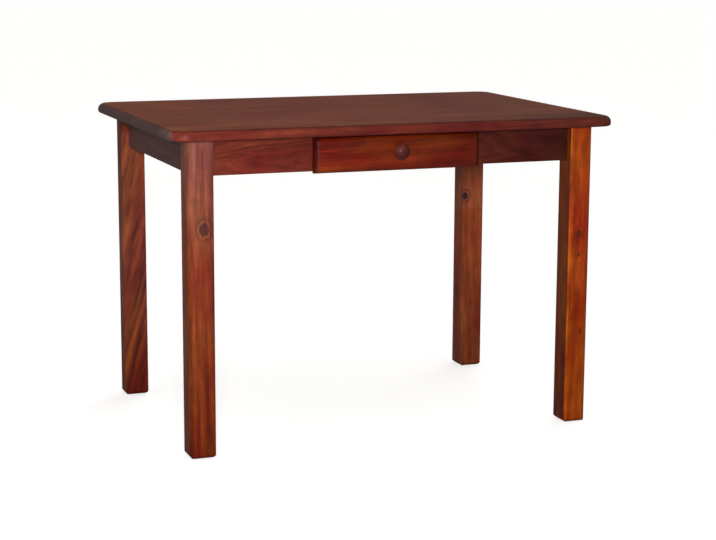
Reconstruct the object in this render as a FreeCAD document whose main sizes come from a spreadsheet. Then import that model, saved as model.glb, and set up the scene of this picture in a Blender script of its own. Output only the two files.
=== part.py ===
import FreeCAD, Part
import os
import re
import Sketcher
from FreeCAD import Placement, Rotation, Vector

# A plain stained-pine table with one drawer in its front apron.
# X runs along the table, Y from the drawer side to the back and Z up, in millimetres.
# The origin lies on the floor under the middle of the top.

SIZES = {
    # The top: edge-glued boards with a rounded edge all the way round
    "table_height": 755,
    "top_length": 1100,
    "top_width": 750,
    "top_thickness": 24,
    "top_corner_radius": 45,
    "top_upper_round": 15,
    "top_edge_flat": 3,
    # The legs: square posts, with a generous round on the outer corner only
    "leg_size": 60,
    "leg_inset_end": 46,
    "leg_inset_side": 33,
    "leg_corner_round": 17,
    "leg_edge_round": 3,
    "foot_round": 11,
    # The aprons, tenoned into the legs
    "apron_thickness": 22,
    "apron_height": 83,
    "apron_setback": 19,
    "apron_edge_round": 2,
    "tenon_thickness": 10,
    "tenon_top_shoulder": 15,
    "tenon_bottom_shoulder": 10,
    "tenon_wall": 4,
    # Room for glue, round each tenon or housed board and past a tenon's end
    "glue_gap": 0.2,
    "tenon_end_gap": 1,
    # The corner braces, glued in, and the screws that they hold the top with
    "brace_thickness": 22,
    "brace_height": 40,
    "brace_leg_gap": 4,
    "top_screw_bite": 14,
    "screw_diameter": 4.5,
    "screw_head_diameter": 8.5,
    "screw_head_height": 2.6,
    "screw_clearance": 0.2,
    "screw_end_gap": 1,
    # The drawer's overlay front, which hangs a little below the apron
    "front_side_overlap": 13.5,
    "front_top_gap": 5,
    "front_drop": 4,
    "front_thickness": 20,
    "front_round": 12,
    "closing_gap": 0.3,
    # The drawer's box: sides housed in the front, the back housed in the sides
    "box_width": 380,
    "box_back_room": 112,
    "side_thickness": 14,
    "back_thickness": 14,
    "back_setback": 12,
    "front_housing": 8,
    "back_housing": 5,
    "panel_thickness": 4,
    "panel_rise": 7,
    "panel_groove": 6,
    # What the drawer slides in
    "window_gap": 1.5,
    "running_gap": 0.3,
    "guide_gap": 1,
    "kicker_gap": 1.2,
    "guide_thickness": 20,
    "guide_top_gap": 8,
    "guide_tenon_length": 10,
    "guide_tenon_thickness": 10,
    "guide_tenon_shoulder": 15,
    "runner_width": 18,
    "runner_height": 14,
    "kicker_height": 12,
    "kicker_top_gap": 9.5,
    # The turned knob, whose middle lies knob_drop below the front's upper edge
    "knob_drop": 35.5,
    "knob_diameter": 38.5,
    "knob_projection": 30,
    "knob_foot_diameter": 21,
    "knob_foot_height": 3,
    "knob_neck_step": 2,
    "knob_flare_height": 11,
    "knob_band_height": 4,
    "knob_screw_bite": 15,
}

# Sizes that follow from the ones above
DERIVED = {
    "underside": "table_height - top_thickness",
    "top_lower_round": "top_thickness - top_upper_round - top_edge_flat",
    "leg_x": "top_length / 2 - leg_inset_end - leg_size / 2",
    "leg_y": "top_width / 2 - leg_inset_side - leg_size / 2",
    "leg_inner_x": "leg_x - leg_size / 2",
    "leg_inner_y": "leg_y - leg_size / 2",
    "leg_inside": "leg_size - apron_setback - apron_thickness",
    "apron_bottom": "underside - apron_height",
    "apron_offset": "leg_size / 2 - apron_setback - apron_thickness / 2",
    "apron_x": "leg_x + apron_offset",
    "apron_y": "leg_y + apron_offset",
    "apron_inner_x": "apron_x - apron_thickness / 2",
    "apron_inner_y": "apron_y - apron_thickness / 2",
    "tenon_length": "leg_size / 2 + apron_offset - tenon_thickness / 2 - tenon_wall",
    "tenon_height": "apron_height - tenon_top_shoulder - tenon_bottom_shoulder",
    "brace_near": "2 * leg_inside + brace_leg_gap * sqrt(2)",
    "brace_far": "brace_near + brace_thickness * sqrt(2)",
    "brace_middle": "(brace_near + brace_far) / 2",
    "runner_top": "apron_bottom + runner_height",
    "box_bottom": "runner_top + running_gap",
    "box_top": "underside - kicker_top_gap - kicker_height - kicker_gap",
    "box_height": "box_top - box_bottom",
    "box_inner": "box_width / 2 - side_thickness",
    "box_end": "apron_inner_y - box_back_room",
    "back_face": "box_end - back_setback - back_thickness",
    "panel_bottom": "box_bottom + panel_rise",
    "front_back_face": "-(apron_y + apron_thickness / 2 + closing_gap)",
    "front_width": "box_width + 2 * window_gap + 2 * front_side_overlap",
    "front_bottom": "apron_bottom - front_drop",
    "front_height": "apron_height - front_top_gap + front_drop",
    "kicker_bottom": "box_top + kicker_gap",
    "guide_face": "box_width / 2 + guide_gap",
    "guide_x": "guide_face + guide_thickness / 2",
    "guide_height": "apron_height - guide_top_gap",
    "guide_tenon_height": "guide_height - 2 * guide_tenon_shoulder",
    "knob_height": "front_bottom + front_height - knob_drop",
}

TOP_BOARDS = 6
SIDES = {"left": -1, "right": 1}
ENDS = {"front": -1, "back": 1}
# Each leg and brace is the same piece, turned a quarter further round the table
CORNERS = ("front_left", "front_right", "back_right", "back_left")
# How a round piece, made upright, is turned to point one way
TURNS = {"+z": Rotation(), "-y": Rotation(Vector(1, 0, 0), 90)}
# A point of a sketch is the number of its line, then 1 for the start, 2 for the end or 3 for a centre
ORIGIN_POINT = (-1, 1)
NEAR = 0.001

doc = FreeCAD.newDocument("drawer_table")
sheet = doc.addObject("Spreadsheet::Sheet", "sizes")
nodes = {}
recesses = {}


def fill_sheet():
    """Write each size and each derived size to the sheet under its own alias."""
    cells = {alias: str(number) for alias, number in SIZES.items()}
    cells.update({alias: "=" + text for alias, text in DERIVED.items()})
    for row, (alias, content) in enumerate(cells.items(), start=1):
        sheet.set(f"A{row}", alias)
        sheet.setAlias(f"B{row}", alias)
        sheet.set(f"B{row}", content)
    doc.recompute()


def formula(text):
    """Turn the aliases in a formula into references to the sheet."""
    def refer(match):
        word = match.group(0)
        return f"sizes.{word}" if word in SIZES or word in DERIVED else word
    return re.sub(r"[a-z][a-z_]*", refer, str(text))


def bind(item, **properties):
    for name, text in properties.items():
        item.setExpression(name, formula(text))


def place(item, x, y, z, turn=Rotation()):
    item.Placement = Placement(Vector(), turn)
    for axis, text in zip("xyz", (x, y, z)):
        item.setExpression(f"Placement.Base.{axis}", formula(text))


def corners():
    """The name of each corner, its signs along X and Y, and the turn of its pieces."""
    for quarter, corner in enumerate(CORNERS):
        end, side = corner.split("_")
        yield corner, SIDES[side], ENDS[end], Rotation(Vector(0, 0, 1), 90 * quarter)


def direction(axis, sign):
    return ("+" if sign > 0 else "-") + axis


# Solids that the pieces are made of


def block(name, size, x, y, bottom):
    """A box of three sizes, centred on x and y and standing on its bottom."""
    box = doc.addObject("Part::Box", name)
    bind(box, Length=size[0], Width=size[1], Height=size[2])
    place(box, f"{x} - ({size[0]}) / 2", f"{y} - ({size[1]}) / 2", bottom)
    return box


def rod(name, diameter, length, x, y, z, way):
    """A round bar that starts at a point and runs one way along an axis."""
    cylinder = doc.addObject("Part::Cylinder", name)
    bind(cylinder, Radius=f"({diameter}) / 2", Height=length)
    place(cylinder, x, y, z, TURNS[way])
    return cylinder


def along(x, y, z, way, distance):
    """The formulas of a point moved a distance one way along an axis."""
    point = {"x": x, "y": y, "z": z}
    point[way[1]] = f"{point[way[1]]} {way[0]} ({distance})"
    return point["x"], point["y"], point["z"]


def slab(name, width, front, back, height, x, bottom):
    """A box that runs along Y from its front end to its back end."""
    return block(name, (width, f"({back}) - ({front})", height), x, f"(({front}) + ({back})) / 2", bottom)


def bar(name, length, thickness, height, shoulder, line, bottom, way):
    """A box that grows from its shoulder one way along X or Y, on a line."""
    middle = f"{shoulder} {way[0]} ({length}) / 2"
    if way[1] == "x":
        return block(name, (length, thickness, height), middle, line, bottom)
    return block(name, (thickness, length, height), line, middle, bottom)


def fused(name, pieces):
    union = doc.addObject("Part::MultiFuse", name)
    union.Shapes = pieces
    return union


def cut(name, base, tools):
    difference = doc.addObject("Part::Cut", name)
    difference.Base = base
    difference.Tool = tools[0] if len(tools) == 1 else fused(f"{name}_tools", tools)
    return difference


def common(name, base, tool):
    overlap = doc.addObject("Part::Common", name)
    overlap.Base = base
    overlap.Tool = tool
    return overlap


def recess(piece, solid):
    """Note a solid that is cut out of a piece when the piece is finished."""
    recesses.setdefault(piece, []).append(solid)


def keep(name, solid):
    """Make a solid, with its recesses cut, the finished piece of this name."""
    finished = cut(f"{name}_cut", solid, recesses[name]) if name in recesses else solid
    finished.Label = name
    nodes[name] = finished


def tenon(name, length, thickness, height, shoulder, line, bottom, way, into):
    """A tenon that grows from its shoulder, with the mortise that it fills cut into another piece."""
    mortise = bar(f"{name}_mortise", f"{length} + tenon_end_gap", f"{thickness} + 2 * glue_gap",
                  f"{height} + 2 * glue_gap", shoulder, line, f"{bottom} - glue_gap", way)
    recess(into, mortise)
    return bar(name, length, thickness, height, shoulder, line, bottom, way)


def screw(name, length, seat, way, pieces):
    """A screw whose head bears on its seat, with its bore in each piece that it passes through."""
    head_start = along(*seat, way, "-screw_head_height")
    shank = rod(f"{name}_shank", "screw_diameter", length, *seat, way)
    head = rod(f"{name}_head", "screw_head_diameter", "screw_head_height", *head_start, way)
    bore = rod(f"{name}_bore", "screw_diameter + screw_clearance", f"{length} + screw_end_gap", *seat, way)
    for piece in pieces:
        recess(piece, bore)
    return fused(name, [shank, head])


# Bodies with sketches


def new_sketch(body, plane_role):
    sketch = body.newObject("Sketcher::SketchObject", f"{body.Name}_sketch")
    plane = next(item for item in body.Origin.OriginFeatures if item.Role == plane_role)
    sketch.AttachmentSupport = [(plane, "")]
    sketch.MapMode = "FlatFace"
    return sketch


def measure(sketch, kind, first, second, text):
    """Dimension two points of a sketch along X or Y and bind that size to a formula."""
    gap = sketch.getPoint(*second) - sketch.getPoint(*first)
    now = gap.x if kind == "DistanceX" else gap.y
    index = sketch.addConstraint(Sketcher.Constraint(kind, *first, *second, now))
    sketch.setExpression(f"Constraints[{index}]", formula(text))


def add_loop(sketch, corners, arcs=()):
    """Join corners with straight lines, or with an arc where a point on it is given."""
    for line, (start, end) in enumerate(zip(corners, corners[1:] + corners[:1])):
        if line in arcs:
            sketch.addGeometry(Part.Arc(start, arcs[line], end), False)
        else:
            sketch.addGeometry(Part.LineSegment(start, end), False)
    for line in range(len(corners)):
        sketch.addConstraint(Sketcher.Constraint("Coincident", line, 2, (line + 1) % len(corners), 1))


def rectangle_body(name, width, depth, height):
    """A padded rectangle, centred on its own origin in plan."""
    body = doc.addObject("PartDesign::Body", name)
    sketch = new_sketch(body, "XY_Plane")
    add_loop(sketch, [Vector(-1, -1, 0), Vector(1, -1, 0), Vector(1, 1, 0), Vector(-1, 1, 0)])
    for line, kind in enumerate(("Horizontal", "Vertical", "Horizontal", "Vertical")):
        sketch.addConstraint(Sketcher.Constraint(kind, line))
    sketch.addConstraint(Sketcher.Constraint("Symmetric", 0, 1, 1, 2, *ORIGIN_POINT))
    measure(sketch, "DistanceX", (0, 1), (0, 2), width)
    measure(sketch, "DistanceY", (1, 1), (1, 2), depth)
    pad_sketch(body, sketch, height)
    return body


def pad_sketch(body, sketch, height):
    pad = body.newObject("PartDesign::Pad", f"{body.Name}_pad")
    pad.Profile = sketch
    bind(pad, Length=height)
    sketch.Visibility = False
    doc.recompute()


def round_edges(body, radius, wanted):
    """Round the edges of a body that the test picks by their bounding box."""
    base = body.Tip
    names = [f"Edge{i}" for i, edge in enumerate(base.Shape.Edges, start=1) if wanted(edge.BoundBox)]
    fillet = body.newObject("PartDesign::Fillet", f"{body.Name}_round")
    fillet.Base = (base, names)
    bind(fillet, Radius=radius)
    doc.recompute()


def upright(box):
    return box.ZLength > NEAR and box.XLength < NEAR and box.YLength < NEAR


# The pieces of the table


def top_screws():
    """One screw through each brace into the top, from below."""
    screws = []
    for corner, right, back, _ in corners():
        seat = (f"{right} * (apron_inner_x - brace_middle / 2)",
                f"{back} * (apron_inner_y - brace_middle / 2)", "underside - brace_height")
        screws.append(screw(f"top_screw_{corner}", "brace_height + top_screw_bite", seat, "+z",
                            [f"brace_{corner}", "top"]))
    group = doc.addObject("Part::Compound", "top_screw_group")
    group.Links = screws
    keep("top_screws", group)


def top():
    """The glued-up top, rounded as one slab and parted again at its glue lines."""
    board = rectangle_body("top_slab", "top_length", "top_width", "top_thickness")
    round_edges(board, "top_corner_radius", upright)
    thickness = sheet.top_thickness
    round_edges(board, "top_upper_round", lambda box: box.ZMin > thickness - NEAR)
    round_edges(board, "top_lower_round", lambda box: box.ZMax < NEAR)
    place(board, 0, 0, "underside")
    drilled = cut("top_drilled", board, recesses["top"])
    width = f"top_width / {TOP_BOARDS}"
    for number in range(1, TOP_BOARDS + 1):
        middle = f"({number} - ({TOP_BOARDS} + 1) / 2) * {width}"
        strip = block(f"strip_{number}", ("top_length", width, "top_thickness"), "0", middle, "underside")
        keep(f"top_board_{number}", common(f"board_{number}", drilled, strip))


def drawer_rails():
    """On each side a guide tenoned between the aprons, a runner below the drawer and a kicker above it."""
    span = "2 * apron_inner_y"
    for side, sign in SIDES.items():
        line = f"{sign} * guide_x"
        guide = ("guide_thickness", span, "guide_height")
        parts = [block(f"guide_board_{side}", guide, line, "0", "apron_bottom")]
        for end, back in ENDS.items():
            parts.append(tenon(f"guide_tenon_{side}_{end}", "guide_tenon_length", "guide_tenon_thickness",
                               "guide_tenon_height", f"{back} * apron_inner_y", line,
                               "apron_bottom + guide_tenon_shoulder", direction("y", back), f"apron_{end}"))
        keep(f"guide_{side}", fused(f"tenoned_guide_{side}", parts))
        middle = f"{sign} * (guide_face - runner_width / 2)"
        runner = ("runner_width", span, "runner_height")
        keep(f"runner_{side}", block(f"runner_batten_{side}", runner, middle, "0", "apron_bottom"))
        kicker = ("runner_width", span, "kicker_height")
        keep(f"kicker_{side}", block(f"kicker_batten_{side}", kicker, middle, "0", "kicker_bottom"))


def apron_board(name, length):
    """A board along X whose two long lower edges are eased."""
    board = rectangle_body(name, length, "apron_thickness", "apron_height")
    round_edges(board, "apron_edge_round", lambda box: box.ZMax < NEAR and box.XLength > NEAR)
    return board


def apron_tenon(name, shoulder, line, way, leg):
    return tenon(name, "tenon_length", "tenon_thickness", "tenon_height", shoulder, line,
                 "apron_bottom + tenon_bottom_shoulder", way, leg)


def aprons():
    """Four boards tenoned into the legs, the front one with a window for the drawer."""
    window_size = ("box_width + 2 * window_gap", "2 * apron_thickness", "box_height + 2 * window_gap")
    recess("apron_front", block("drawer_window", window_size, "0", "-apron_y", "box_bottom - window_gap"))
    for end, back in ENDS.items():
        line = f"{back} * apron_y"
        parts = [apron_board(f"board_{end}", "2 * leg_inner_x")]
        place(parts[0], 0, line, "apron_bottom")
        for side, right in SIDES.items():
            parts.append(apron_tenon(f"tenon_{end}_{side}", f"{right} * leg_inner_x", line,
                                     direction("x", right), f"leg_{end}_{side}"))
        keep(f"apron_{end}", fused(f"tenoned_{end}", parts))
    for side, right in SIDES.items():
        line = f"{right} * apron_x"
        parts = [apron_board(f"board_{side}", "2 * leg_inner_y")]
        place(parts[0], line, 0, "apron_bottom", Rotation(Vector(0, 0, 1), 90))
        for end, back in ENDS.items():
            parts.append(apron_tenon(f"tenon_{side}_{end}", f"{back} * leg_inner_y", line,
                                     direction("y", back), f"leg_{end}_{side}"))
        keep(f"apron_{side}", fused(f"tenoned_{side}", parts))


def legs():
    half = sheet.leg_size / 2
    for corner, right, back, turn in corners():
        post = rectangle_body(f"post_{corner}", "leg_size", "leg_size", "underside")
        round_edges(post, "leg_corner_round", lambda box: upright(box) and box.XMax < 0 and box.YMax < 0)
        round_edges(post, "leg_edge_round",
                    lambda box: upright(box) and min(abs(box.XMin), abs(box.YMin)) > half - NEAR)
        foot = rectangle_body(f"foot_{corner}", "leg_size", "leg_size", "underside")
        round_edges(foot, "foot_round", lambda box: box.ZMax < NEAR)
        for form in (post, foot):
            place(form, f"{right} * leg_x", f"{back} * leg_y", 0, turn)
        keep(f"leg_{corner}", common(f"footed_{corner}", post, foot))


def braces():
    """A diagonal block in each corner, mitred to lie flat on both aprons."""
    near = sheet.brace_near
    far = sheet.brace_far
    for corner, right, back, turn in corners():
        body = doc.addObject("PartDesign::Body", f"mitred_{corner}")
        sketch = new_sketch(body, "XY_Plane")
        add_loop(sketch, [Vector(near, 0, 0), Vector(far, 0, 0), Vector(0, far, 0), Vector(0, near, 0)])
        sketch.addConstraint(Sketcher.Constraint("Horizontal", 0))
        sketch.addConstraint(Sketcher.Constraint("Vertical", 2))
        sketch.addConstraint(Sketcher.Constraint("Horizontal", *ORIGIN_POINT, 0, 1))
        sketch.addConstraint(Sketcher.Constraint("Vertical", *ORIGIN_POINT, 2, 1))
        measure(sketch, "DistanceX", ORIGIN_POINT, (0, 1), "brace_near")
        measure(sketch, "DistanceX", ORIGIN_POINT, (0, 2), "brace_far")
        measure(sketch, "DistanceY", ORIGIN_POINT, (2, 1), "brace_far")
        measure(sketch, "DistanceY", ORIGIN_POINT, (2, 2), "brace_near")
        pad_sketch(body, sketch, "brace_height")
        place(body, f"{right} * apron_inner_x", f"{back} * apron_inner_y", "underside - brace_height", turn)
        keep(f"brace_{corner}", body)


def knob_screw():
    """The screw through the drawer's front into the knob, from inside the drawer."""
    seat = ("0", "front_back_face", "knob_height")
    keep("knob_screw", screw("knob_fixing", "front_thickness + knob_screw_bite", seat, "-y",
                             ["drawer_front", "drawer_knob"]))


def drawer_box():
    """The overlay front, two sides housed in it, the back, and a thin bottom in grooves all round."""
    groove = slab("bottom_groove", "2 * (box_inner + panel_groove + glue_gap)",
                  "front_back_face - panel_groove - glue_gap", "back_face + panel_groove + glue_gap",
                  "panel_thickness + glue_gap", "0", "panel_bottom")
    dado = slab("back_dado", "2 * (box_inner + back_housing + glue_gap)", "back_face - glue_gap",
                "back_face + back_thickness + glue_gap", "box_height + 2 * glue_gap", "0",
                "box_bottom - glue_gap")
    recess("drawer_front", groove)
    recess("drawer_back", groove)
    for side, sign in SIDES.items():
        middle = f"{sign} * (box_width - side_thickness) / 2"
        housing = slab(f"front_housing_{side}", "side_thickness + 2 * glue_gap",
                       "front_back_face - front_housing - glue_gap", "front_back_face",
                       "box_height + 2 * glue_gap", middle, "box_bottom - glue_gap")
        recess("drawer_front", housing)
        recess(f"drawer_side_{side}", groove)
        recess(f"drawer_side_{side}", dado)
        board = slab(f"side_board_{side}", "side_thickness", "front_back_face - front_housing", "box_end",
                     "box_height", middle, "box_bottom")
        keep(f"drawer_side_{side}", board)
    front = rectangle_body("front_board", "front_width", "front_thickness", "front_height")
    face = sheet.front_thickness / 2
    round_edges(front, "front_round", lambda box: box.YMax < NEAR - face)
    place(front, 0, "front_back_face - front_thickness / 2", "front_bottom")
    keep("drawer_front", front)
    back = slab("back_board", "2 * (box_inner + back_housing)", "back_face", "back_face + back_thickness",
                "box_height", "0", "box_bottom")
    keep("drawer_back", back)
    panel = slab("bottom_panel", "2 * (box_inner + panel_groove)", "front_back_face - panel_groove",
                 "back_face + panel_groove", "panel_thickness", "0", "panel_bottom")
    keep("drawer_bottom", panel)


def knob():
    """A turned knob: a foot, a neck that flares out to a narrow band, and a domed face."""
    body = doc.addObject("PartDesign::Body", "turned_knob")
    sketch = new_sketch(body, "XZ_Plane")
    foot = sheet.knob_foot_diameter / 2
    neck = foot - sheet.knob_neck_step
    rim = sheet.knob_diameter / 2
    foot_top = sheet.knob_foot_height
    flare_top = foot_top + sheet.knob_flare_height
    band_top = flare_top + sheet.knob_band_height
    crown = sheet.knob_projection
    swell = Vector(crown - band_top, crown - band_top, 0) / 4
    outline = [Vector(), Vector(foot, 0, 0), Vector(foot, foot_top, 0), Vector(neck, foot_top, 0),
               Vector(rim, flare_top, 0), Vector(rim, band_top, 0), Vector(0, crown, 0)]
    foot_base, foot_edge, step, flare, band, dome, axis = range(len(outline))
    add_loop(sketch, outline, {dome: Vector(rim, band_top + crown, 0) / 2 + swell})
    sketch.addConstraint(Sketcher.Constraint("Coincident", foot_base, 1, *ORIGIN_POINT))
    for line in (foot_base, step):
        sketch.addConstraint(Sketcher.Constraint("Horizontal", line))
    for line in (foot_edge, band, axis):
        sketch.addConstraint(Sketcher.Constraint("Vertical", line))
    sketch.addConstraint(Sketcher.Constraint("Vertical", *ORIGIN_POINT, dome, 3))
    measure(sketch, "DistanceX", ORIGIN_POINT, (foot_base, 2), "knob_foot_diameter / 2")
    measure(sketch, "DistanceY", (foot_edge, 1), (foot_edge, 2), "knob_foot_height")
    measure(sketch, "DistanceX", (flare, 1), (foot_edge, 2), "knob_neck_step")
    measure(sketch, "DistanceX", ORIGIN_POINT, (band, 1), "knob_diameter / 2")
    measure(sketch, "DistanceY", (flare, 1), (flare, 2), "knob_flare_height")
    measure(sketch, "DistanceY", (band, 1), (band, 2), "knob_band_height")
    measure(sketch, "DistanceY", ORIGIN_POINT, (dome, 2), "knob_projection")
    turning = body.newObject("PartDesign::Revolution", "knob_turning")
    turning.Profile = sketch
    turning.ReferenceAxis = (sketch, ["V_Axis"])
    turning.Angle = 360
    doc.recompute()
    place(body, 0, "front_back_face - front_thickness", "knob_height", TURNS["-y"])
    keep("drawer_knob", body)


def write_pieces():
    """Stop at any feature that failed, then write each piece to its own file."""
    doc.recompute()
    for item in doc.Objects:
        if {"Invalid", "Error"} & set(item.State):
            raise RuntimeError(f"{item.Name} failed: {item.State}")
    for name, item in nodes.items():
        if item.Shape.isNull() or not item.Shape.isValid():
            raise RuntimeError(f"{name} has no valid shape")
    os.makedirs("parts", exist_ok=True)
    for name, item in nodes.items():
        item.Shape.exportStep(f"parts/{name}.step")
    print(len(nodes), "pieces written")


fill_sheet()
top_screws()
knob_screw()
top()
drawer_rails()
aprons()
legs()
braces()
drawer_box()
knob()
write_pieces()
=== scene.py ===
import math
import random
import bmesh
import bpy
from mathutils import Euler, Matrix, Vector


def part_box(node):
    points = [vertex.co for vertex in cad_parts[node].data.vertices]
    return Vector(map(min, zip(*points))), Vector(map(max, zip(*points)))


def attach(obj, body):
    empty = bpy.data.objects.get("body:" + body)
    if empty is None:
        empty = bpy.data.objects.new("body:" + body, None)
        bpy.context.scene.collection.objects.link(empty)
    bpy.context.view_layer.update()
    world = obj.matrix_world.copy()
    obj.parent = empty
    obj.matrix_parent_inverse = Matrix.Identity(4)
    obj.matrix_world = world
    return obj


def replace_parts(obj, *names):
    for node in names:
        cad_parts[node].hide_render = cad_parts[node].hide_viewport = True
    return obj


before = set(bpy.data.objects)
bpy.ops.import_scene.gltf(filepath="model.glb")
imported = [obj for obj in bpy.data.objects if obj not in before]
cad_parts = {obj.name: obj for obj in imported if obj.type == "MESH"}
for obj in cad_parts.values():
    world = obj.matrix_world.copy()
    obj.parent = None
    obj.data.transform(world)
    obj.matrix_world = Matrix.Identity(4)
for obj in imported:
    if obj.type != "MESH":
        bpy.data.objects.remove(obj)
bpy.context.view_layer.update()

bl_info = {
    "name": "Pine drawer table",
    "version": (1, 0, 0),
    "blender": (4, 5, 0),
    "location": "View3D > Sidebar > Table",
    "description": "Finishes and stages a plain stained-pine table with one drawer",
    "category": "Object",
}

MM = 0.001
WHITE = (1, 1, 1, 1)
TOP_BOARDS = [f"top_board_{number}" for number in range(1, 7)]
FRONT_BOARD = TOP_BOARDS[0]
CORNERS = ("front_left", "front_right", "back_right", "back_left")
SIDES = ("left", "right")


def linear(hex_colour):
    """Turn an sRGB hex colour into the linear colour that sockets take."""
    shares = [int(hex_colour[place:place + 2], 16) / 255 for place in (0, 2, 4)]
    return [s / 12.92 if s <= 0.04045 else ((s + 0.055) / 1.055) ** 2.4 for s in shares] + [1.0]


def colour(name, description, hex_colour):
    return bpy.props.FloatVectorProperty(
        name=name, description=description, default=linear(hex_colour), size=4, min=0, max=1,
        subtype="COLOR")


def length(name, description, millimetres):
    return bpy.props.FloatProperty(
        name=name, description=description, default=millimetres * MM, unit="LENGTH")


def share(name, description, default):
    return bpy.props.FloatProperty(
        name=name, description=description, default=default, min=0, max=1, subtype="FACTOR")


def power(name, description, watts):
    return bpy.props.FloatProperty(
        name=name, description=description, default=watts, min=0, unit="POWER")


class WoodSettings(bpy.types.PropertyGroup):
    """Stains and grain of the wooden pieces"""
    top_light: colour("Top light", "Earlywood of the stained top", "8e3f1a")
    top_dark: colour("Top dark", "Latewood of the stained top", "67290d")
    leg_front_left_light: colour(
        "Front left leg light", "Earlywood of the front left leg", "94421f")
    leg_front_left_dark: colour("Front left leg dark", "Latewood of the front left leg", "642311")
    leg_front_right_light: colour(
        "Front right leg light", "Earlywood of the front right leg", "b04c0d")
    leg_front_right_dark: colour(
        "Front right leg dark", "Latewood of the front right leg", "7f2f08")
    leg_back_right_light: colour(
        "Back right leg light", "Earlywood of the back right leg", "984821")
    leg_back_right_dark: colour("Back right leg dark", "Latewood of the back right leg", "76311a")
    leg_back_left_light: colour("Back left leg light", "Earlywood of the back left leg", "904327")
    leg_back_left_dark: colour("Back left leg dark", "Latewood of the back left leg", "51201b")
    apron_light: colour("Apron light", "Earlywood of the stained aprons", "79301f")
    apron_dark: colour("Apron dark", "Latewood of the stained aprons", "531c12")
    drawer_light: colour("Drawer light", "Earlywood of the stained drawer front", "832e0c")
    drawer_dark: colour("Drawer dark", "Latewood of the stained drawer front", "5a1808")
    knob_light: colour("Knob light", "Earlywood of the stained knob", "5e2822")
    knob_dark: colour("Knob dark", "Latewood of the stained knob", "431a18")
    knot_heart: colour("Knot heart", "What a knot's heart leaves of the wood's colour", "aeb9e7")
    knot_bark: colour(
        "Knot bark", "What the line round a knot leaves of the wood's colour", "ddd8ec")
    pine_light: colour("Pine light", "Earlywood of bare pine", "d9b487")
    pine_dark: colour("Pine dark", "Latewood of bare pine", "b98650")
    beech_light: colour("Beech light", "Ground of bare beech", "cfa57c")
    beech_dark: colour("Beech dark", "Flecks of bare beech", "a87850")
    plywood_light: colour("Plywood light", "Earlywood of the face veneer", "d3b083")
    plywood_dark: colour("Plywood dark", "Latewood of the face veneer", "b58a58")
    # Rings of 2 to 4 mm and fibres well under 1 mm would be too fine to see, so both are coarser
    ring_width: length("Ring width", "Growth rings, drawn wide enough to show", 9)
    fibre_width: length("Fibre width", "Wood fibres, drawn wide enough to show", 4)
    veneer_ring_width: length("Veneer ring width", "Rings of a veneer peeled from the log", 22)
    streak_width: length("Streak width", "Lighter and darker bands along the grain", 20)
    mottle_width: length("Mottle width", "Small patches where the stain took unevenly", 16)
    blotch_width: length("Blotch width", "Large patches where the stain took unevenly", 70)
    bend_width: length("Bend width", "Waves of the grain from side to side", 60)
    bend_depth: length("Bend depth", "How far those waves push the rings", 40)
    lacquer_roughness: share("Lacquer roughness", "How dull the satin lacquer is", 0.37)
    knob_roughness: share(
        "Knob roughness", "How dull the lacquer is on the knob, polished by hands", 0.25)
    bare_roughness: share("Bare roughness", "How dull planed bare wood is", 0.7)


class KnobSettings(bpy.types.PropertyGroup):
    """The turned knob"""
    foot_diameter: length("Foot diameter", "Where the knob stands on the drawer front", 21)
    foot_height: length("Foot height", "Thickness of the foot", 3)
    neck_diameter: length("Neck diameter", "Narrowest part, just above the foot", 17)
    rim_height: share("Rim height", "How far out the rim lies, as a share of the knob", 0.55)
    rim_round: length("Rim round", "Radius of the rounded rim", 3.5)


class ScrewSettings(bpy.types.PropertyGroup):
    """The zinc-plated screws"""
    shank_diameter: length("Shank diameter", "Across the plain shank", 4.5)
    head_height: length("Head height", "How far a pan head stands out", 2.6)
    head_edge: length("Head edge", "Height of the upright edge of a head", 1.1)
    recess_width: length("Recess width", "Arms of the cross recess", 1.2)
    recess_span: length("Recess span", "Cross recess from end to end", 4.8)
    recess_depth: length("Recess depth", "Depth of the cross recess", 1.3)


class StageSettings(bpy.types.PropertyGroup):
    """Floor, light and camera"""
    floor: colour("Floor", "Pale studio floor, as the camera sees it", "c8c7c5")
    floor_bounce: colour(
        "Floor bounce", "The floor's colour in the light that it throws up", "7a7a7a")
    floor_glow: share("Floor glow", "How far the camera sees the floor lifted to white", 0.64)
    air_level: share("Air level", "Even light from all round", 0.15)
    mirrored_air_level: share("Mirrored air level", "That light, as the lacquer mirrors it", 0.125)
    lamp_size: length("Lamp size", "Across the round lamps beside the camera", 600)
    lamp_rise: length("Lamp rise", "How far above the camera those lamps stand", 150)
    key_power: power("Key power", "The lamp beside the camera that the lacquer doesn't mirror", 125)
    sheen_power: power("Sheen power", "The lamp beside the camera that the lacquer mirrors", 40)
    camera_place: bpy.props.FloatVectorProperty(
        name="Camera place", description="Where the camera stands",
        default=(-1.5568, -4.1661, 1.1835), subtype="TRANSLATION", unit="LENGTH")
    camera_turn: bpy.props.FloatVectorProperty(
        name="Camera turn", description="Pitch, roll and yaw of the camera",
        default=[math.radians(angle) for angle in (90 - 10.616, -0.277, -20.805)],
        subtype="EULER", unit="ROTATION")
    lens: bpy.props.FloatProperty(
        name="Lens", description="Focal length of the camera", default=90.51, unit="CAMERA")


class TableSettings(bpy.types.PropertyGroup):
    """Everything that can be changed about the table's looks"""
    wood: bpy.props.PointerProperty(type=WoodSettings)
    knob: bpy.props.PointerProperty(type=KnobSettings)
    screw: bpy.props.PointerProperty(type=ScrewSettings)
    stage: bpy.props.PointerProperty(type=StageSettings)


def settings():
    return bpy.context.scene.drawer_table


def middle_of(name):
    low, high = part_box(name)
    return (low + high) / 2


# Materials

# Turns each direction of grain to X, in which the patterns are drawn
GRAIN_TURNS = {
    "x": Matrix.Identity(3),
    "y": Matrix.Rotation(math.radians(-90), 3, "Z"),
    "z": Matrix.Rotation(math.radians(90), 3, "Y"),
}
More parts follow.
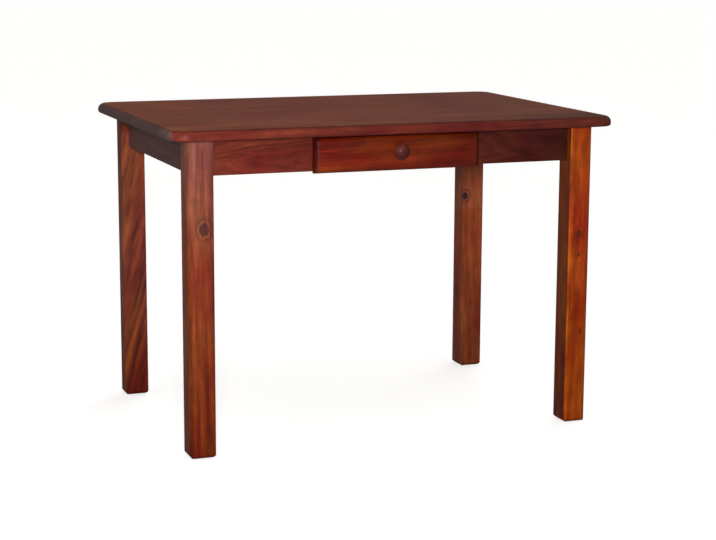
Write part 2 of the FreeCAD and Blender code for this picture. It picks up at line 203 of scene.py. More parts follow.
# How much each pattern is squeezed along the grain, which draws it out, and its detail
PATTERNS = {
    "bend": (0.2, 1.0),
    "streak": (0.06, 3.0),
    "fibre": (0.03, 4.0),
    "mottle": (0.5, 3.0),
    "blotch": (0.3, 2.0),
}
# Most of a noise lies between these two values
NOISE_SPAN = {"From Min": 0.3, "From Max": 0.7}
# Rings and streaks go from the light colour to the dark one between these
TONE_SPAN = {"From Min": 0.33, "From Max": 0.67}
# How much lighter or darker the stain gets in each pattern, and how far its hue drifts
STAIN_DEPTHS = {"blotch": 0.2, "mottle": 0.16, "fibre": 0.2}
HUE_DRIFT = 0.011
PLAIN_HUE = 0.5
# A knot's outline wavers by this share of its radius, in waves of this width
KNOT_WAVER = 0.4
KNOT_WAVER_WIDTH = 9 * MM
# Rings flow round a knot between these distances, in its radii, and shift by so many rings
SWIRL_NEAR, SWIRL_FAR = 0.3, 3.0
SWIRL_RINGS = 1.6
# A knot's colours are drawn out to this distance, in its radii, with a pale ring of resin
KNOT_SPAN = 2
RESIN = (1.02, 1.08, 1.12, 1)
# Bare wood varies less than stained wood, and its rings show more
BARE_UNEVENNESS = 0.4
BARE_RINGS = 0.7


def node(tree, kind, inputs=None, stops=(), **options):
    """Add a node, set its options and the stops of its ramp, and set or link its inputs."""
    made = tree.nodes.new(kind)
    for name, value in options.items():
        setattr(made, name, value)
    for number, (place, tint) in enumerate(stops):
        elements = made.color_ramp.elements
        stop = elements[number] if number < len(elements) else elements.new(place)
        stop.position = place
        stop.color = tint
    for key, value in (inputs or {}).items():
        if isinstance(value, bpy.types.NodeSocket):
            tree.links.new(value, made.inputs[key])
        else:
            made.inputs[key].default_value = value
    return made


def new_material(name):
    """An empty node material, ready for a shader."""
    material = bpy.data.materials.new(name)
    material.use_nodes = True
    material.node_tree.nodes.clear()
    return material, material.node_tree


def random_cut(name):
    """Where a board was sawn from the log, the same on every run.

    Gives how far beside the board's middle its pith line lies, in millimetres, and how that line
    leans, in degrees.
    """
    draw = random.Random(name)
    pith = (draw.uniform(-35, 35), draw.choice((-1, 1)) * draw.uniform(25, 70))
    lean = (0, draw.uniform(-2.5, 2.5), draw.uniform(-1.5, 1.5))
    return pith, lean


def grain_patterns(tree, along):
    """The noises that a sawn piece's colour is made of, drawn out along its grain."""
    look = settings().wood
    noise = {}
    for kind, (squeeze, detail) in PATTERNS.items():
        long = node(tree, "ShaderNodeMapping", {"Vector": along, "Scale": (squeeze, 1, 1)})
        noise[kind] = node(tree, "ShaderNodeTexNoise", {
            "Vector": long.outputs[0], "Scale": 1 / getattr(look, f"{kind}_width"),
            "Detail": detail, "Roughness": 0.55}).outputs["Fac"]
    return noise


def pith_distance(tree, along, bend):
    """The distance from the pith line, which wanders."""
    across = node(tree, "ShaderNodeMapping", {"Vector": along, "Scale": (0, 1, 1)})
    radius = node(tree, "ShaderNodeVectorMath", {0: across.outputs[0]}, operation="LENGTH")
    return node(tree, "ShaderNodeMath", {
        0: bend, 1: settings().wood.bend_depth, 2: radius.outputs["Value"]},
        operation="MULTIPLY_ADD").outputs[0]


def knot_distance(tree, place, knots):
    """The distance from the nearest knot's heart, counted in that knot's own radii."""
    nearest = None
    for spot, radii in knots:
        # A branch runs straight through the piece along the axis without a radius
        scale = Vector([1 / (radius * MM) if radius else 0 for radius in radii])
        local = node(tree, "ShaderNodeMapping", {
            "Vector": place, "Location": -scale * Vector(spot) * MM, "Scale": scale})
        reach = node(tree, "ShaderNodeVectorMath", {0: local.outputs[0]},
                     operation="LENGTH").outputs["Value"]
        if nearest:
            reach = node(tree, "ShaderNodeMath", {0: nearest, 1: reach},
                         operation="MINIMUM").outputs[0]
        nearest = reach
    waver = node(tree, "ShaderNodeTexNoise", {
        "Vector": place, "Scale": 1 / KNOT_WAVER_WIDTH, "Detail": 3.0})
    waver = node(tree, "ShaderNodeMapRange", {
        "Value": waver.outputs["Fac"], "To Min": -KNOT_WAVER, "To Max": KNOT_WAVER})
    return node(tree, "ShaderNodeMath", {0: nearest, 1: waver.outputs[0]},
                operation="ADD").outputs[0]


def flow_round(tree, radius, reach, ring_width):
    """Push the rings aside near a knot, so that they flow round it."""
    swirl = node(tree, "ShaderNodeMapRange", {
        "Value": reach, "From Min": SWIRL_NEAR, "From Max": SWIRL_FAR,
        "To Min": SWIRL_RINGS * ring_width, "To Max": 0.0}, interpolation_type="SMOOTHERSTEP")
    return node(tree, "ShaderNodeMath", {0: radius, 1: swirl.outputs[0]},
                operation="ADD").outputs[0]


def fade_along(tree, place, name, fades):
    """The product of levels that change along a piece.

    Each fade is an axis with a list of levels, each at a share of the way along that axis.
    """
    low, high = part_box(name)
    spread = node(tree, "ShaderNodeSeparateXYZ", {"Vector": place})
    product = None
    for axis, levels in fades:
        number = "xyz".index(axis)
        way = node(tree, "ShaderNodeMapRange", {
            "Value": spread.outputs[number], "From Min": low[number], "From Max": high[number]})
        stops = [(spot, (level, level, level, 1)) for spot, level in levels]
        step = node(tree, "ShaderNodeValToRGB", {"Fac": way.outputs[0]}, stops=stops).outputs[0]
        if product:
            step = node(tree, "ShaderNodeMath", {0: product, 1: step},
                        operation="MULTIPLY").outputs[0]
        product = step
    return product


def stain_and_painted_light(tree, place, name, tint, noise, fades=(), paling=(), reddening=(), unevenness=1.0):
    """Vary a colour where the stain sank in more or less, and paint light and shade where a piece
    asks for it.

    Fades make it lighter or darker from side to side, paling less or more vivid and reddening
    redder; on some pieces these are painted highlights, shade and reflections. Large patches that
    are darker are redder too.
    """
    level = 1.0
    for kind, depth in STAIN_DEPTHS.items():
        patch = node(tree, "ShaderNodeMapRange", {
            "Value": noise[kind], "To Min": 1 - depth * unevenness,
            "To Max": 1 + depth * unevenness, **NOISE_SPAN})
        level = node(tree, "ShaderNodeMath", {0: level, 1: patch.outputs[0]},
                     operation="MULTIPLY").outputs[0]
    if fades:
        level = node(tree, "ShaderNodeMath", {0: level, 1: fade_along(tree, place, name, fades)},
                     operation="MULTIPLY").outputs[0]
    hue = node(tree, "ShaderNodeMapRange", {
        "Value": noise["blotch"], "To Min": PLAIN_HUE - HUE_DRIFT * unevenness,
        "To Max": PLAIN_HUE + HUE_DRIFT * unevenness, **NOISE_SPAN}).outputs[0]
    if reddening:
        hue = node(tree, "ShaderNodeMath", {0: hue, 1: fade_along(tree, place, name, reddening)},
                   operation="MULTIPLY").outputs[0]
    tuning = {"Hue": hue, "Value": level, "Color": tint}
    if paling:
        tuning["Saturation"] = fade_along(tree, place, name, paling)
    return node(tree, "ShaderNodeHueSaturation", tuning).outputs["Color"]


def knotted(tree, tint, reach, depth):
    """Draw the knots: the heart, a pale ring of resin, the dark line outside it, and plain wood."""
    look = settings().wood
    colours = [(0.0, look.knot_heart), (0.68, look.knot_heart), (0.92, RESIN), (0.98, RESIN),
               (1.14, look.knot_bark), (1.7, WHITE)]
    way = node(tree, "ShaderNodeMath", {0: reach, 1: 1 / KNOT_SPAN}, operation="MULTIPLY")
    knot = node(tree, "ShaderNodeValToRGB", {"Fac": way.outputs[0]},
                stops=[(radii / KNOT_SPAN, left) for radii, left in colours])
    knot = node(tree, "ShaderNodeGamma", {"Color": knot.outputs[0], "Gamma": depth})
    return node(tree, "ShaderNodeMix", {0: 1.0, 6: tint, 7: knot.outputs[0]},
                data_type="RGBA", blend_type="MULTIPLY").outputs[2]


def wood(tree, name, light, dark, grain, cut=None, rings=0.5, ring_width=None, knots=(),
         knot_depth=1.0, **stain):
    """The colour of a sawn piece and its fibres, for the shader that is still to come.

    Growth rings of uneven width run round a pith line that lies beside the piece and leans against
    its length, so a flat-sawn face shows arches and a quarter-sawn one stripes. They wander, and
    flow round the knots. Streaks, fibres and uneven stain vary the colour further, and on some
    pieces fades paint highlights and shade.
    """
    ring_width = ring_width or settings().wood.ring_width
    place = node(tree, "ShaderNodeTexCoord").outputs["Object"]
    pith, lean = cut or random_cut(name)
    turn = Euler([math.radians(angle) for angle in lean]).to_matrix() @ GRAIN_TURNS[grain]
    shift = Vector((0, *pith)) * MM - turn @ middle_of(name)
    along = node(tree, "ShaderNodeMapping", {
        "Vector": place, "Location": shift, "Rotation": turn.to_euler()}).outputs[0]
    noise = grain_patterns(tree, along)
    radius = pith_distance(tree, along, noise["bend"])
    if knots:
        reach = knot_distance(tree, place, knots)
        radius = flow_round(tree, radius, reach, ring_width)
    ring = node(tree, "ShaderNodeTexNoise", {
        "W": radius, "Scale": 1 / ring_width, "Detail": 2.0, "Roughness": 0.6},
        noise_dimensions="1D")
    tone = node(tree, "ShaderNodeMix", {0: rings, 2: noise["streak"], 3: ring.outputs["Fac"]})
    tone = node(tree, "ShaderNodeMapRange", {"Value": tone.outputs[0], **TONE_SPAN})
    tint = node(tree, "ShaderNodeMix", {0: tone.outputs[0], 6: light, 7: dark},
                data_type="RGBA").outputs[2]
    tint = stain_and_painted_light(tree, place, name, tint, noise, **stain)
    if knots:
        tint = knotted(tree, tint, reach, knot_depth)
    return tint, noise["fibre"]


def lacquered_pine(name, light, dark, grain, dull=None, **sawn):
    """Mahogany-stained pine under satin lacquer.

    The film fills the grain, so light slides along it softly, a little duller along some fibres.
    """
    material, tree = new_material(f"lacquered_pine_{name}")
    tint, fibre = wood(tree, name, light, dark, grain, **sawn)
    dull = dull or settings().wood.lacquer_roughness
    rough = node(tree, "ShaderNodeMapRange", {
        "Value": fibre, "To Min": dull - 0.05, "To Max": dull + 0.07})
    bump = node(tree, "ShaderNodeBump", {
        "Height": fibre, "Strength": 0.06, "Distance": 0.3 * MM})
    shader = node(tree, "ShaderNodeBsdfPrincipled", {
        "Base Color": tint, "Roughness": rough.outputs[0], "Normal": bump.outputs[0], "IOR": 1.48,
        "Specular IOR Level": 0.34})
    node(tree, "ShaderNodeOutputMaterial", {"Surface": shader.outputs[0]})
    return material


def leave_bare(tree, tint, fibre):
    """Wood with no finish: open fibres scatter the light, so it is dull and shows fine furrows."""
    bump = node(tree, "ShaderNodeBump", {"Height": fibre, "Strength": 0.2, "Distance": 0.4 * MM})
    shader = node(tree, "ShaderNodeBsdfPrincipled", {
        "Base Color": tint, "Roughness": settings().wood.bare_roughness,
        "Normal": bump.outputs[0], "IOR": 1.45, "Specular IOR Level": 0.3})
    node(tree, "ShaderNodeOutputMaterial", {"Surface": shader.outputs[0]})


def planed_pine(name, grain):
    """Planed pine: warm yellow, with plain darker rings."""
    look = settings().wood
    material, tree = new_material(f"planed_pine_{name}")
    leave_bare(tree, *wood(tree, name, look.pine_light, look.pine_dark, grain, rings=BARE_RINGS,
                           unevenness=BARE_UNEVENNESS))
    return material


def sanded_plywood(name, grain):
    """Sanded plywood: its pale face veneer was peeled from the log, so its rings lie far apart."""
    look = settings().wood
    material, tree = new_material(f"sanded_plywood_{name}")
    leave_bare(tree, *wood(tree, name, look.plywood_light, look.plywood_dark, grain,
                           ring_width=look.veneer_ring_width, unevenness=BARE_UNEVENNESS))
    return material


def planed_beech(name, grain):
    """Planed beech: an even pinkish ground with short darker flecks along the grain."""
    look = settings().wood
    material, tree = new_material(f"planed_beech_{name}")
    place = node(tree, "ShaderNodeTexCoord").outputs["Object"]
    turn = GRAIN_TURNS[grain]
    along = node(tree, "ShaderNodeMapping", {
        "Vector": place, "Location": -(turn @ middle_of(name)), "Rotation": turn.to_euler()})
    short = node(tree, "ShaderNodeMapping", {"Vector": along.outputs[0], "Scale": (0.12, 1, 1)})
    fleck = node(tree, "ShaderNodeTexNoise", {
        "Vector": short.outputs[0], "Scale": 1 / look.fibre_width, "Detail": 1.0,
        "Roughness": 0.4}).outputs["Fac"]
    tint = node(tree, "ShaderNodeValToRGB", {"Fac": fleck},
                stops=[(0.5, look.beech_light), (0.68, look.beech_dark)])
    leave_bare(tree, tint.outputs[0], fleck)
    return material


def zinc_steel():
    """Zinc-plated steel screws: bright metal with a faint milky mottle of about 2 mm."""
    material, tree = new_material("zinc_plated_steel")
    place = node(tree, "ShaderNodeTexCoord").outputs["Object"]
    mottle = node(tree, "ShaderNodeTexNoise", {
        "Vector": place, "Scale": 1 / (2 * MM), "Detail": 2.0}).outputs["Fac"]
    tint = node(tree, "ShaderNodeValToRGB", {"Fac": mottle},
                stops=[(0.3, linear("b9b6ab")), (0.7, linear("d8d5c8"))])
    rough = node(tree, "ShaderNodeMapRange", {"Value": mottle, "To Min": 0.28, "To Max": 0.45})
    shader = node(tree, "ShaderNodeBsdfPrincipled", {
        "Base Color": tint.outputs[0], "Metallic": 1.0, "Roughness": rough.outputs[0]})
    node(tree, "ShaderNodeOutputMaterial", {"Surface": shader.outputs[0]})
    return material


# Pieces as they were made in CAD

# End grain is darkest this far in from an end, and as light as the rest from here on
END_DARK = 4 * MM
END_CLEAR = 13 * MM


def end_grain(name, axis, level):
    """A fade that darkens both ends of a piece, where the open grain drank more stain."""
    number = "xyz".index(axis)
    low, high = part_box(name)
    whole = high[number] - low[number]
    dark = END_DARK / whole
    clear = END_CLEAR / whole
    return axis, [(0, level), (dark, level), (clear, 1),
                  (1 - clear, 1), (1 - dark, level), (1, level)]


def finish_node(name, material):
    """Give a CAD piece its finish in place of the plain one that it came with."""
    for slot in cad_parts[name].material_slots:
        slot.material = material


# The top's edge and underside are darker and greyer than its top face, with a darker line where the
# rounded edge begins; painted light makes the edge redder, standing in for the redder light it gets
# than the top face
EDGE_LINE = ("z", [(0.0, 0.78), (0.8, 0.76), (0.92, 0.52), (0.98, 0.58), (1.0, 1.0)])
EDGE_PAINTED_RED = ("z", [(0.0, 0.975), (0.9, 0.975), (1.0, 1.0)])
EDGE_PALE = ("z", [(0.0, 0.95), (0.9, 0.95), (1.0, 1.0)])
# The top gets darker towards its right end, the front board most of all
FRONT_BOARD_FADE = ("x", [(0, 1.15), (0.6, 0.84), (1, 0.54)])
BOARD_FADE = ("x", [(0.2, 1), (0.6, 0.95), (1, 0.77)])


class StainTop(bpy.types.Operator):
    """Stain and lacquer the boards of the top, with painted light on their edges and a painted
    reflection on their left end
    """
    bl_idname = "drawer_table.stain_top"
    bl_label = "Stain the top"

    def execute(self, context):
        look = settings().wood
        for name in TOP_BOARDS:
            axis, ends = end_grain(name, "x", level=0.6)
            # Painted reflection: the left end alone is paled to grey, standing in for the dim room
            # mirrored in its lacquer
            left_end_reflection = ends[:3]
            sideways = FRONT_BOARD_FADE if name == FRONT_BOARD else BOARD_FADE
            board = lacquered_pine(
                name, look.top_light, look.top_dark, "x", rings=0.35,
                fades=[EDGE_LINE, (axis, ends), sideways],
                # Reddening the edge is painted light, and paling the left end a painted reflection
                paling=[EDGE_PALE, (axis, left_end_reflection)], reddening=[EDGE_PAINTED_RED])
            finish_node(name, board)
        return {"FINISHED"}


# How each leg was sawn, with the knots that show (place and radii in millimetres, no radius along
# a branch that runs straight through), how its colour changes up and across it, and the painted
# highlights and shade on the front legs
LEGS = {
    "front_left": {
        "cut": ((14, -60), (0, 1.0, 1.5)),
        "rings": 0.25,
        "knots": [((-467.5, -342, 530), (15, 0, 20))],
        "knot_depth": 1.3,
        "fades": [("z", [(0, 0.62), (0.5, 0.9), (1, 1.05)]),
                  # Painted highlight: lighter down the rounded outer corner, where the lamp beside
                  # the camera shines back, then a little darker towards the right
                  ("x", [(0.08, 1), (0.2, 1.3), (0.4, 1.05), (1, 0.9)])],
        "paling": [("z", [(0, 1.04), (0.6, 1), (1, 0.82)])],
        "unevenness": 1.2,
    },
    "front_right": {
        "cut": ((-25, -40), (0, -1.5, 0.5)),
        "knots": [((471, -342, 470), (10, 0, 15)), ((473, -342, 420), (6, 0, 8)),
                  ((482, -342, 230), (6, 0, 8))],
        "knot_depth": 0.9,
        "fades": [("z", [(0, 0.78), (1, 1.1)]),
                  # Painted shade on the left face and the right edge, and a painted highlight down
                  # the front's left edge
                  ("x", [(0, 0.45), (0.01, 1.3), (0.06, 1.25), (0.12, 1), (0.92, 1), (1, 0.75)])],
        "paling": [("z", [(0, 1.06), (0.5, 1)])],
        "unevenness": 1.4,
    },
    "back_right": {
        "cut": ((20, 50), (0, 2.0, -2.0)),
        "rings": 0.2,
        "knots": [((449, 282, 478), (12, 10, 14))],
        "knot_depth": 2.2,
        "fades": [("z", [(0, 0.66), (0.5, 1.05), (0.595, 1), (0.615, 1.15), (0.85, 1.1), (1, 1)])],
        "paling": [("z", [(0.595, 1), (0.615, 0.96)])],
    },
    "back_left": {
        "cut": ((-15, -45), (0, -14.0, 3.0)),
        "rings": 0.3,
        "fades": [("z", [(0, 0.66), (0.5, 1.18), (1, 1)])],
        "paling": [("z", [(0, 1.08), (0.4, 1)])],
    },
}


class StainLegs(bpy.types.Operator):
    """Stain and lacquer the legs, with painted highlights and shade on the front ones"""
    bl_idname = "drawer_table.stain_legs"
    bl_label = "Stain the legs"

    def execute(self, context):
        look = settings().wood
        for corner, timber in LEGS.items():
            name = f"leg_{corner}"
            light = getattr(look, f"{name}_light")
            dark = getattr(look, f"{name}_dark")
            finish_node(name, lacquered_pine(name, light, dark, "z", **timber))
        return {"FINISHED"}


# Which way the grain of each apron runs, how the front one was sawn and how its colour changes
# along it, and the painted shade and reflection on the left one
APRONS = {
    "front": {
        "grain": "x",
        "cut": ((22, 10), (0, 2.0, 7.0)),
        "rings": 0.6,
        "fades": [("x", [(0, 1.27), (1, 0.32)])],
    },
    "back": {"grain": "x"},
    "left": {
        "grain": "y",
        # Painted shade and painted reflection: the left apron is darkened and paled to grey all
        # over, standing in for shade and the dim room it mirrors
        "fades": [("z", [(0, 0.8), (1, 0.8)])],
        "paling": [("z", [(0, 0.7), (1, 0.7)])],
    },
    "right": {"grain": "y"},
}


class StainAprons(bpy.types.Operator):
    """Stain and lacquer the aprons, with painted shade and reflection on the left one"""
    bl_idname = "drawer_table.stain_aprons"
    bl_label = "Stain the aprons"

    def execute(self, context):
        look = settings().wood
        for side, timber in APRONS.items():
            name = f"apron_{side}"
            finish_node(name, lacquered_pine(name, look.apron_light, look.apron_dark, **timber))
        return {"FINISHED"}


class FinishDrawer(bpy.types.Operator):
    """Stain the drawer's front and finish the bare box behind it"""
    bl_idname = "drawer_table.finish_drawer"
    bl_label = "Finish the drawer"

    def execute(self, context):
        look = settings().wood
        fades = [("z", [(0, 1.15), (1, 0.85)]), ("x", [(0, 1.12), (1, 0.68)]),
                 end_grain("drawer_front", "x", level=0.4)]
        finish_node("drawer_front", lacquered_pine(
            "drawer_front", look.drawer_light, look.drawer_dark, "x", rings=0.3, fades=fades))
        for side in SIDES:
            name = f"drawer_side_{side}"
            finish_node(name, planed_pine(name, "y"))
        finish_node("drawer_back", planed_pine("drawer_back", "x"))
        finish_node("drawer_bottom", sanded_plywood("drawer_bottom", "x"))
        return {"FINISHED"}


class FinishFrame(bpy.types.Operator):
    """Finish the bare braces, guides, runners and kickers under the top"""
    bl_idname = "drawer_table.finish_frame"
    bl_label = "Finish the hidden frame"

    def execute(self, context):
        for corner in CORNERS:
            name = f"brace_{corner}"
            finish_node(name, planed_pine(name, "x"))
        for side in SIDES:
            for kind in ("guide", "kicker"):
                name = f"{kind}_{side}"
                finish_node(name, planed_pine(name, "y"))
            name = f"runner_{side}"
            finish_node(name, planed_beech(name, "y"))
        return {"FINISHED"}


# Pieces made here

# Edges sharper than this stay crisp, points closer than this are merged, and a cut runs through
# points that lie this near to it
SHARP_ANGLE = math.radians(35)
MERGE_DISTANCE = 0.01 * MM
CUT_DISTANCE = 0.001 * MM
# Steps along the knob's three curves and round its axis, then the same for a screw's domed head
NECK_STEPS, RIM_STEPS, DOME_STEPS, KNOB_STEPS = 8, 10, 12, 64
HEAD_STEPS, SCREW_STEPS = 6, 24
# Turns a piece that was made upright to point towards the table's front
TO_FRONT = Matrix.Rotation(math.radians(90), 4, "X")


def new_piece(name, shape, material, body):
    """Make a finished bmesh an object that rides on a body."""
    bmesh.ops.recalc_face_normals(shape, faces=shape.faces)
    mesh = bpy.data.meshes.new(name)
    shape.to_mesh(mesh)
    shape.free()
    mesh.shade_smooth()
    mesh.set_sharp_from_angle(angle=SHARP_ANGLE)
    mesh.materials.append(material)
    piece = bpy.data.objects.new(name, mesh)
    bpy.context.scene.collection.objects.link(piece)
    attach(piece, body)
    return piece


def verts_of(geometry):
    return [item for item in geometry if isinstance(item, bmesh.types.BMVert)]


def extend(shape, tip, radius, height):
    """Draw a straight line of a profile from its tip to a new point and return that point."""
    end = shape.verts.new((radius, 0, height))
    shape.edges.new((tip, end))
    return end


def sweep_arc(shape, tip, centre, angle, steps):
    """Draw an arc of a profile from its tip round a centre and return the arc's end."""
    made = bmesh.ops.spin(shape, geom=[tip], cent=(centre[0], 0, centre[1]), axis=(0, -1, 0),
                          angle=angle, steps=steps, use_duplicate=False)
    return verts_of(made["geom_last"])[0]


def turn_profile(shape, tip, steps):
    """Close a profile's tip on the axis and turn it once round."""
    tip.co.x = 0
    bmesh.ops.spin(shape, geom=shape.verts[:] + shape.edges[:], cent=(0, 0, 0), axis=(0, 0, 1),
                   angle=2 * math.pi, steps=steps, use_merge=True, use_duplicate=False)
    bmesh.ops.remove_doubles(shape, verts=shape.verts, dist=MERGE_DISTANCE)


class TurnKnob(bpy.types.Operator):
    """Turn the knob with its hollow neck, rounded rim and domed face"""
    bl_idname = "drawer_table.turn_knob"
    bl_label = "Turn the knob"

    def execute(self, context):
        size = settings().knob
        low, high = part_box("drawer_knob")
        radius = (high.x - low.x) / 2
        projection = high.y - low.y
        foot = size.foot_diameter / 2
        neck = size.neck_diameter / 2
        rim_centre = (radius - size.rim_round, projection * size.rim_height)
        # The hollow leaves the neck upright and meets the lowest point of the rim
        run = rim_centre[0] - neck
        rise = rim_centre[1] - size.rim_round - size.foot_height
        hollow = (run ** 2 + rise ** 2) / (2 * run)
        hollow_angle = -2 * math.atan2(run, rise)
        # The dome is centred on the axis and runs on smoothly from the rim
        crown = projection - rim_centre[1]
        dome = (rim_centre[0] ** 2 + crown ** 2 - size.rim_round ** 2)
        dome /= 2 * (crown - size.rim_round)
        dome_angle = math.atan2(rim_centre[1] - projection + dome, rim_centre[0])
        shape = bmesh.new()
        tip = shape.verts.new((0, 0, 0))
        tip = extend(shape, tip, foot, 0)
        tip = extend(shape, tip, foot, size.foot_height)
        tip = extend(shape, tip, neck, size.foot_height)
        tip = sweep_arc(shape, tip, (neck + hollow, size.foot_height), hollow_angle, NECK_STEPS)
        tip = sweep_arc(shape, tip, rim_centre, math.pi / 2 + dome_angle, RIM_STEPS)
        tip = sweep_arc(shape, tip, (0, projection - dome), math.pi / 2 - dome_angle, DOME_STEPS)
        turn_profile(shape, tip, KNOB_STEPS)
        centre = middle_of("drawer_knob")
        seat = Matrix.Translation((centre.x, high.y, centre.z))
        bmesh.ops.transform(shape, matrix=seat @ TO_FRONT, verts=shape.verts)
        look = settings().wood
        finish = lacquered_pine("drawer_knob", look.knob_light, look.knob_dark, "y",
                                dull=look.knob_roughness)
        piece = new_piece("turned_knob", shape, finish, "drawer")
        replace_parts(piece, "drawer_knob")
        return {"FINISHED"}


def sink_cross(shape, size):
    """Cut a cross recess into the crown of a screw's head."""
    half_width = size.recess_width / 2
    half_span = size.recess_span / 2
    for axis in (Vector((1, 0, 0)), Vector((0, 1, 0))):
        for offset in (-half_span, -half_width, half_width, half_span):
            faces = [face for face in shape.faces if face.calc_center_median().z < -size.head_edge]
            edges = {edge for face in faces for edge in face.edges}
            verts = {vert for face in faces for vert in face.verts}
            bmesh.ops.bisect_plane(shape, geom=[*verts, *edges, *faces], dist=CUT_DISTANCE,
                                   plane_co=axis * offset, plane_no=axis)
    cross = []
    for face in shape.faces:
        middle = face.calc_center_median()
        near, far = sorted((abs(middle.x), abs(middle.y)))
        if middle.z < -size.head_edge and near < half_width and far < half_span:
            cross.append(face)
    sunk = bmesh.ops.extrude_face_region(shape, geom=cross)["geom"]
    bmesh.ops.delete(shape, geom=cross, context="FACES")
    bmesh.ops.translate(shape, vec=(0, 0, size.recess_depth), verts=verts_of(sunk))


def screw_shape(reach, head, size):
    """A pan-head screw that points up from its seat at the origin."""
    shape = bmesh.new()
    shank = size.shank_diameter / 2
    crown = size.head_height - size.head_edge
    # The arc through the crown's tip and the head's edge is centred on the screw's axis
    dome = (head ** 2 + crown ** 2) / (2 * crown)
    tip = shape.verts.new((0, 0, reach))
    tip = extend(shape, tip, shank, reach - shank)
    tip = extend(shape, tip, shank, 0)
    tip = extend(shape, tip, head, 0)
    tip = extend(shape, tip, head, -size.head_edge)
    tip = sweep_arc(shape, tip, (0, dome - size.head_height), -math.asin(head / dome), HEAD_STEPS)
    turn_profile(shape, tip, SCREW_STEPS)
    sink_cross(shape, size)
    return shape


class DriveScrews(bpy.types.Operator):
    """Drive the screws that hold the top and the knob"""
    bl_idname = "drawer_table.drive_screws"
    bl_label = "Drive the screws"

    def execute(self, context):
        size = settings().screw
        zinc = zinc_steel()
        low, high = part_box("knob_screw")
        head = (high.x - low.x) / 2
        shape = screw_shape(high.y - low.y - size.head_height, head, size)
        seat = Matrix.Translation((low.x + head, high.y - size.head_height, low.z + head))
        bmesh.ops.transform(shape, matrix=seat @ TO_FRONT, verts=shape.verts)
        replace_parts(new_piece("knob_fixing", shape, zinc, "drawer"), "knob_screw")
        low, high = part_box("top_screws")
        shape = screw_shape(high.z - low.z - size.head_height, head, size)
        seat = (low.x + head, low.y + head, low.z + size.head_height)
        bmesh.ops.translate(shape, vec=seat, verts=shape.verts)
        # One screw becomes two along the table, and those two become four across it
        for step in ((high.x - low.x - 2 * head, 0, 0), (0, high.y - low.y - 2 * head, 0)):
            whole = shape.verts[:] + shape.edges[:] + shape.faces[:]
            more = bmesh.ops.duplicate(shape, geom=whole)["geom"]
            bmesh.ops.translate(shape, vec=step, verts=verts_of(more))
        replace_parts(new_piece("top_fixings", shape, zinc, "table"), "top_screws")
        return {"FINISHED"}


# Stage

# Half the floor's width, in metres: far enough for its edges to stay out of sight
FLOOR_REACH = 60
# The soft lamps round the table: azimuth, elevation and spread in degrees, and level
SOFT_LAMPS = {
    "overhead_lamp": (30, 75, 80, 0.26),
    "back_lamp": (140, 22, 50, 0.5),
    "side_lamp": (-85, 15, 40, 0.12),
}


def camera_sight(tree, path):
    """Whether a light path comes from the camera, straight or through something clear."""
    return node(tree, "ShaderNodeMath", {
        0: path.outputs["Is Camera Ray"], 1: path.outputs["Is Transmission Ray"]},
        operation="MAXIMUM").outputs[0]


def floor_material():
    """Matt white studio vinyl: the camera sees it white, with a soft shadow under the table."""
    look = settings().stage
    material, tree = new_material("matt_studio_vinyl")
    seen = camera_sight(tree, node(tree, "ShaderNodeLightPath"))
    mixed = node(tree, "ShaderNodeMix", {0: seen, 6: look.floor_bounce, 7: look.floor},
                 data_type="RGBA")
    base = node(tree, "ShaderNodeBsdfDiffuse", {"Color": mixed.outputs[2]})
    glow = node(tree, "ShaderNodeMath", {0: seen, 1: look.floor_glow}, operation="MULTIPLY")
    white = node(tree, "ShaderNodeEmission", {"Strength": glow.outputs[0]})
    both = node(tree, "ShaderNodeAddShader", {0: base.outputs[0], 1: white.outputs[0]})
    node(tree, "ShaderNodeOutputMaterial", {"Surface": both.outputs[0]})
    return material


def studio_air():
    """Even grey light from all round: white to the camera, and a little dimmer in the lacquer."""
    look = settings().stage
    world = bpy.data.worlds.new("studio_air")
    world.use_nodes = True
    tree = world.node_tree
    tree.nodes.clear()
    path = node(tree, "ShaderNodeLightPath")
    seen = camera_sight(tree, path)
    # The lacquer would mirror a white room over the whole top at a low angle and turn it pale
    mirrored = node(tree, "ShaderNodeMapRange", {
        "Value": path.outputs["Is Glossy Ray"], "To Min": look.air_level,
        "To Max": look.mirrored_air_level})
    level = node(tree, "ShaderNodeMix", {0: seen, 2: mirrored.outputs[0], 3: 1.0})
    air = node(tree, "ShaderNodeBackground", {"Color": WHITE, "Strength": level.outputs[0]})
    node(tree, "ShaderNodeOutputWorld", {"Surface": air.outputs[0]})
    return world


def lay_floor(scene):
    shape = bmesh.new()
    bmesh.ops.create_grid(shape, x_segments=1, y_segments=1, size=FLOOR_REACH)
    mesh = bpy.data.meshes.new("floor")
    shape.to_mesh(mesh)
    shape.free()
    mesh.materials.append(floor_material())
    floor = bpy.data.objects.new("floor", mesh)
    scene.collection.objects.link(floor)


def hang_lamp(scene, name, kind, turn, mirrored=False, **options):
    """Add a lamp, with or without a mirror image in the lacquer."""
    data = bpy.data.lights.new(name, kind)
    for option, value in options.items():
        setattr(data, option, value)
    lamp = bpy.data.objects.new(name, data)
    lamp.rotation_euler = turn
    lamp.visible_glossy = mirrored
    scene.collection.objects.link(lamp)
    return lamp


def from_direction(azimuth, elevation):
    """The direction in which a lamp lies, its azimuth counted from the front towards the right."""
    turn, rise = math.radians(azimuth), math.radians(elevation)
    level = math.cos(rise)
    return Vector((math.sin(turn) * level, -math.cos(turn) * level, math.sin(rise)))


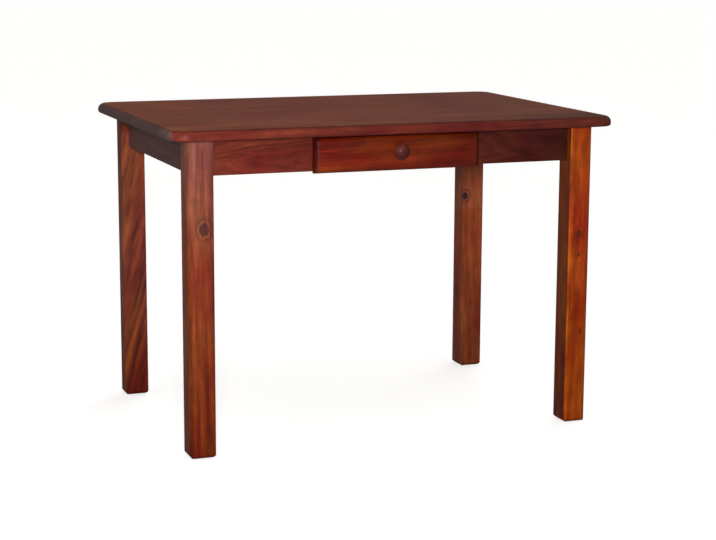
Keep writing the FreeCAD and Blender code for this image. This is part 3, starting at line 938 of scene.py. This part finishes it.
def light_stage(scene):
    """Light the table from beside the camera, and softly from above, behind and the left."""
    look = settings().stage
    # The lacquer mirrors only the weaker lamp beside the camera, so its glare stays small
    for name, energy, mirrored in (("key_lamp", look.key_power, False),
                                   ("sheen_lamp", look.sheen_power, True)):
        lamp = hang_lamp(scene, name, "AREA", look.camera_turn, mirrored, shape="DISK",
                         size=look.lamp_size, energy=energy)
        lamp.location = Vector(look.camera_place) + Vector((0, 0, look.lamp_rise))
    for name, (azimuth, elevation, spread, level) in SOFT_LAMPS.items():
        turn = from_direction(azimuth, elevation).to_track_quat("Z", "Y").to_euler()
        # A sun of strength pi lights a white surface that faces it to plain white
        hang_lamp(scene, name, "SUN", turn, angle=math.radians(spread), energy=math.pi * level)


def place_camera(scene):
    look = settings().stage
    camera = bpy.data.objects.new("camera", bpy.data.cameras.new("camera"))
    camera.data.lens = look.lens
    camera.location = look.camera_place
    camera.rotation_euler = look.camera_turn
    scene.collection.objects.link(camera)
    scene.camera = camera


class BuildStage(bpy.types.Operator):
    """Lay the floor and set up light and camera"""
    bl_idname = "drawer_table.build_stage"
    bl_label = "Build the stage"

    def execute(self, context):
        lay_floor(context.scene)
        context.scene.world = studio_air()
        light_stage(context.scene)
        place_camera(context.scene)
        context.scene.view_settings.view_transform = "Standard"
        return {"FINISHED"}


class TablePanel(bpy.types.Panel):
    """Lists the steps that finish and stage the table"""
    bl_idname = "VIEW3D_PT_drawer_table"
    bl_label = "Drawer table"
    bl_space_type = "VIEW_3D"
    bl_region_type = "UI"
    bl_category = "Table"

    def draw(self, context):
        for operator in OPERATORS:
            self.layout.operator(operator.bl_idname)


OPERATORS = (StainTop, StainLegs, StainAprons, FinishDrawer, FinishFrame, TurnKnob, DriveScrews,
             BuildStage)
CLASSES = (WoodSettings, KnobSettings, ScrewSettings, StageSettings, TableSettings, *OPERATORS,
           TablePanel)


def register():
    for item in CLASSES:
        bpy.utils.register_class(item)
    bpy.types.Scene.drawer_table = bpy.props.PointerProperty(type=TableSettings)


def unregister():
    del bpy.types.Scene.drawer_table
    for item in reversed(CLASSES):
        bpy.utils.unregister_class(item)


def main():
    register()
    bpy.ops.drawer_table.stain_top()
    bpy.ops.drawer_table.stain_legs()
    bpy.ops.drawer_table.stain_aprons()
    bpy.ops.drawer_table.finish_drawer()
    bpy.ops.drawer_table.finish_frame()
    bpy.ops.drawer_table.turn_knob()
    bpy.ops.drawer_table.drive_screws()
    bpy.ops.drawer_table.build_stage()


if __name__ == "__main__":
    main()
